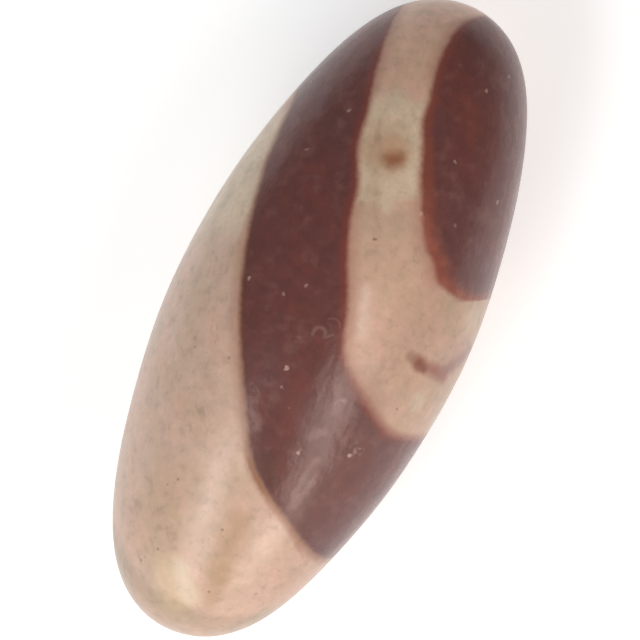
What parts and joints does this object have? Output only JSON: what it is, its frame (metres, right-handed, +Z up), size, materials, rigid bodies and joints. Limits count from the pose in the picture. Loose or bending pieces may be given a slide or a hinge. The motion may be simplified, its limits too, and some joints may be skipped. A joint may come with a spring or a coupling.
{
  "type": "shiva lingam stone",
  "caption": "Polished natural river stone of lingam shape, a long rounded body banded maroon and tan, to hold, display or lay down as an ornament.",
  "frame": {"origin": "on the surface that the stone lies on, under the middle of the stone", "axes": "+Y along the stone's long axis, towards the end with two maroon bands; +X across its width; +Z up"},
  "size_m": [0.033, 0.076, 0.0302],
  "materials": {
    "polished_stone": "satin"
  },
  "bodies": {
    "root": {"stone": "polished_stone"}
  },
  "joints": []
}
